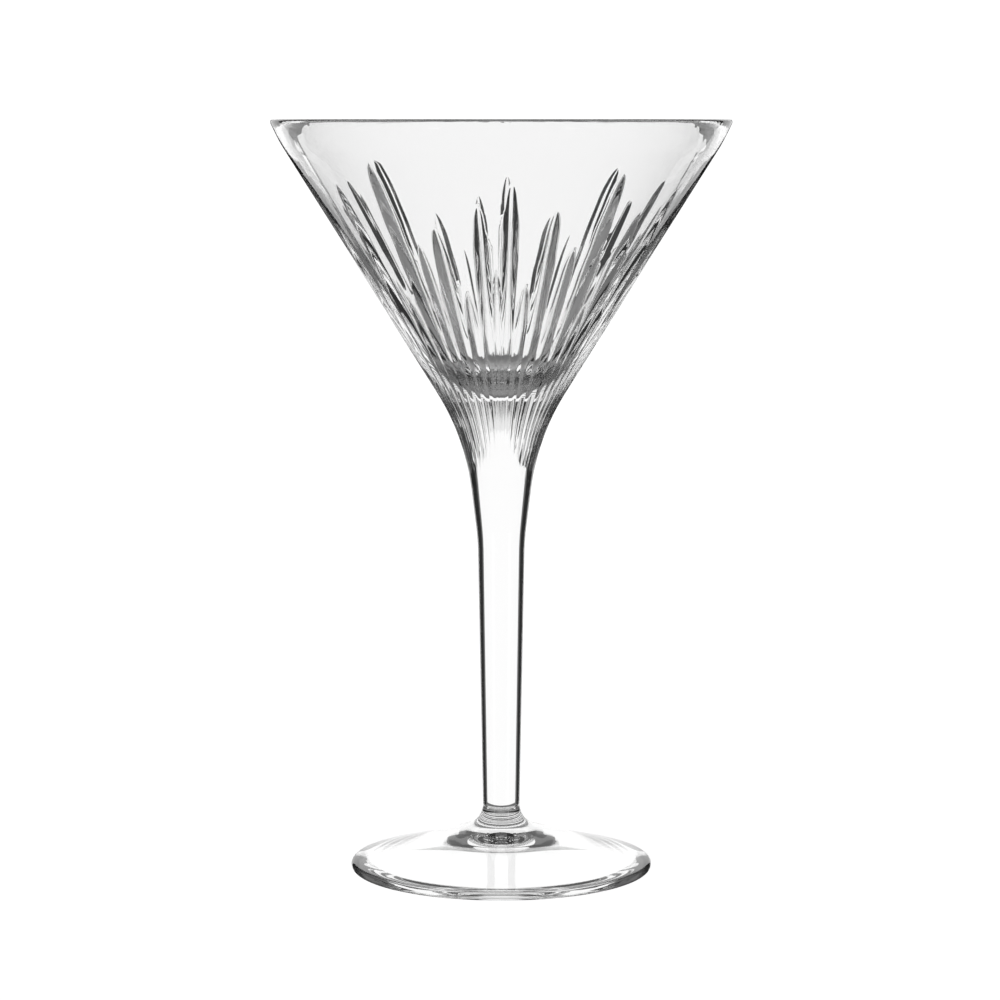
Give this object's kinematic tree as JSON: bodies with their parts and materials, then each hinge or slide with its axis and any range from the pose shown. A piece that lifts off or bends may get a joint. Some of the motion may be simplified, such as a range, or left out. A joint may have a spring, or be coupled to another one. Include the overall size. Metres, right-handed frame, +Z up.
{
  "type": "martini glass",
  "caption": "Stemmed cocktail glass with a wide conical bowl cut with long tapering blades, a slim drawn stem and a round foot.",
  "frame": {"origin": "centre of the resting ring under the foot, on the table's surface", "axes": "+Z up along the glass's axis, towards the rim; -Y is the front"},
  "size_m": [0.106, 0.106, 0.175],
  "materials": {
    "clear_glass": "clear polished glass with wheel-cut blades"
  },
  "bodies": {
    "root": {"bowl": "clear_glass", "stem": "clear_glass", "foot": "clear_glass"}
  },
  "joints": []
}
